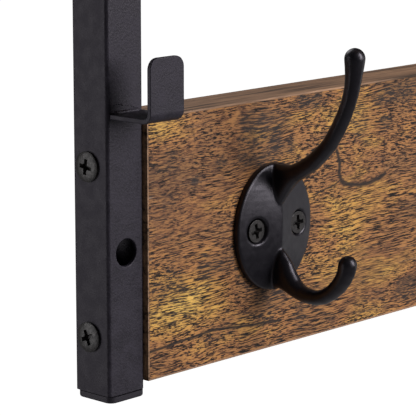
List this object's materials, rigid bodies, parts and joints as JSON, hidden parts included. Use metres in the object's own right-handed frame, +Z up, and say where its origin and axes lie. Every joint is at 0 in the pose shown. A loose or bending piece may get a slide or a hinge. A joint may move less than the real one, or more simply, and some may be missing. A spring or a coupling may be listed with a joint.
{
  "type": "wall-mounted hall tree with hooks",
  "caption": "Wall-mounted hall tree: a wood-look hook board with double coat hooks and a hat shelf between two square-tube steel side frames.",
  "frame": {"origin": "centre of the hook board's rear face, which lies against the wall", "axes": "+X along the boards to the right as seen from the front, +Y into the wall, so the front faces -Y, +Z up"},
  "size_m": [0.603, 0.2, 0.2939],
  "materials": {
    "powder_coat": "satin black powder coat on steel tube, fine texture",
    "cast_hook": "smooth semi-gloss black on cast zinc",
    "black_screw": "satin black coated steel screw",
    "cap_plastic": "matte black moulded plastic",
    "board_face": "rustic brown printed wood grain on particle board, satin",
    "board_edge": "grey-brown printed edge band, satin"
  },
  "bodies": {
    "root": {"coat_hook_1": "cast_hook", "coat_hook_1_screw_left": "black_screw", "coat_hook_1_screw_right": "black_screw", "coat_hook_2": "cast_hook", "coat_hook_2_screw_left": "black_screw", "coat_hook_2_screw_right": "black_screw", "coat_hook_3": "cast_hook", "coat_hook_3_screw_left": "black_screw", "coat_hook_3_screw_right": "black_screw", "coat_hook_4": "cast_hook", "coat_hook_4_screw_left": "black_screw", "coat_hook_4_screw_right": "black_screw", "coat_hook_5": "cast_hook", "coat_hook_5_screw_left": "black_screw", "coat_hook_5_screw_right": "black_screw", "hook_board_band_bottom": "board_edge", "hook_board_band_left": "board_edge", "hook_board_band_right": "board_edge", "hook_board_band_top": "board_edge", "hook_board_core": "board_face", "left_arm": "powder_coat", "left_arm_cap": "cap_plastic", "left_board_screw_1": "black_screw", "left_board_screw_2": "black_screw", "left_brace": "powder_coat", "left_post": "powder_coat", "left_post_cap": "cap_plastic", "left_shelf_screw_1": "black_screw", "left_shelf_screw_2": "black_screw", "left_strip_hook": "powder_coat", "right_arm": "powder_coat", "right_arm_cap": "cap_plastic", "right_board_screw_1": "black_screw", "right_board_screw_2": "black_screw", "right_brace": "powder_coat", "right_post": "powder_coat", "right_post_cap": "cap_plastic", "right_shelf_screw_1": "black_screw", "right_shelf_screw_2": "black_screw", "right_strip_hook": "powder_coat", "shelf_band_front": "board_edge", "shelf_band_left": "board_edge", "shelf_band_rear": "board_edge", "shelf_band_right": "board_edge", "shelf_core": "board_face"}
  },
  "joints": []
}
